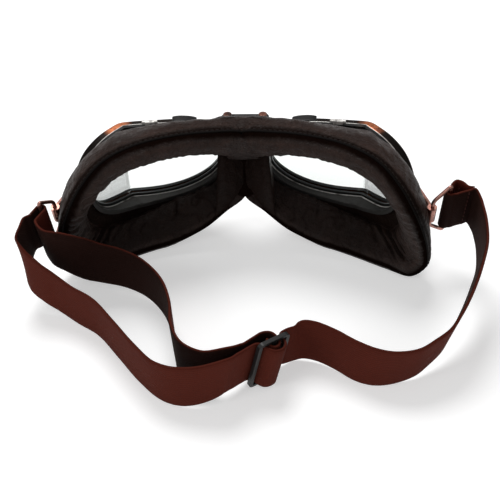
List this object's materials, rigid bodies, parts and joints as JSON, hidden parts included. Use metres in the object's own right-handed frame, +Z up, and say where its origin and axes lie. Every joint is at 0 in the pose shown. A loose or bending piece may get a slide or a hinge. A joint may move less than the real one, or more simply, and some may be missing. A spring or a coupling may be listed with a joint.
{
  "type": "split-lens motorcycle goggles",
  "caption": "Padded leather motorcycle goggles with angled split lenses in metal rims, a hinged nose bridge and an elastic strap with a slider.",
  "frame": {"origin": "centre of the footprint, on the surface the goggles lie on", "axes": "+X towards the wearer's right eyepiece side in the pictured view, +Y out through the lenses, +Z up; +X is the longest side and +Z the shortest"},
  "size_m": [0.2236, 0.1478, 0.0743],
  "materials": {
    "copper": "copper-coloured plating, worn to a browner tone, on the lens rims",
    "gasket_rubber": "soft black rubber bead",
    "cup_metal": "dull grey pressed metal",
    "black_metal": "black enamel, rubbed at the edges",
    "lens_glass": "clear flat glass with ground edges",
    "pad_leather": "dark brown leather over padding, fine grain and wrinkles",
    "outer_leather": "dark brown leather, fine grain",
    "wire": "pinkish copper-plated wire and strip, satin",
    "pin_copper": "reddish plated rivet",
    "slider_black": "black japanned wire plate",
    "strap_elastic": "reddish brown woven elastic webbing"
  },
  "bodies": {
    "root": {"bridge_link_top": "black_metal", "bridge_link_low": "black_metal", "bridge_block": "black_metal", "bridge_pin_left": "pin_copper", "bridge_pin_right": "pin_copper", "strap_left_outer": "strap_elastic", "strap_left_inner": "strap_elastic", "strap_right_run": "strap_elastic", "strap_weave": "strap_elastic"},
    "left_eyepiece": {"lens_rim_left": "copper", "lens_gasket_left": "gasket_rubber", "eyecup_left": "cup_metal", "leather_band_left": "black_metal", "front_lens_left": "lens_glass", "side_lens_left": "lens_glass", "face_pad_left": "pad_leather", "outer_leather_left": "outer_leather", "bridge_lug_left": "black_metal", "lug_rivet_left": "black_metal", "vent_hood_left": "black_metal", "band_clamp_left": "black_metal", "temple_arm_left": "wire"},
    "right_eyepiece": {"lens_rim_right": "copper", "lens_gasket_right": "gasket_rubber", "eyecup_right": "cup_metal", "leather_band_right": "black_metal", "front_lens_right": "lens_glass", "side_lens_right": "lens_glass", "face_pad_right": "pad_leather", "outer_leather_right": "outer_leather", "bridge_lug_right": "black_metal", "lug_rivet_right": "black_metal", "vent_hood_right": "black_metal", "band_clamp_right": "black_metal", "temple_arm_right": "wire"},
    "left_bail": {"bail_left": "wire", "strap_fold_left": "strap_elastic"},
    "right_bail": {"bail_right": "wire", "strap_end_right": "strap_elastic"},
    "slider_body": {"slider": "slider_black", "strap_end_slider": "strap_elastic"}
  },
  "joints": [
    {"name": "left_bridge_hinge", "type": "hinge", "parent": "root", "child": "left_eyepiece", "pos_m": [-0.0124, 0.0706, 0.054], "axis": [0, 0, 1], "range_deg": [-8, 12], "deforming": ["face_pad_left", "outer_leather_left", "strap_left_outer", "strap_left_inner"]},
    {"name": "right_bridge_hinge", "type": "hinge", "parent": "root", "child": "right_eyepiece", "pos_m": [0.006, 0.0706, 0.054], "axis": [0, 0, -1], "range_deg": [-8, 12], "deforming": ["face_pad_right", "outer_leather_right", "strap_right_run"]},
    {"name": "left_bail_hinge", "type": "hinge", "parent": "left_eyepiece", "child": "left_bail", "pos_m": [-0.0948, 0.0175, 0.0375], "axis": [0, -0.1987, 0.9801], "range_deg": [-40, 1.5], "deforming": ["strap_left_outer", "strap_left_inner"]},
    {"name": "right_bail_hinge", "type": "hinge", "parent": "right_eyepiece", "child": "right_bail", "pos_m": [0.0884, 0.0175, 0.0375], "axis": [0, 0.1987, -0.9801], "range_deg": [-15, 50], "deforming": ["strap_right_run"]},
    {"name": "slider_slide", "type": "slide", "parent": "root", "child": "slider_body", "axis": [0.762, 0.6317, -0.1426], "range_m": [-0.008, 0.006], "deforming": ["strap_weave", "strap_left_outer", "strap_left_inner", "strap_right_run"]}
  ]
}
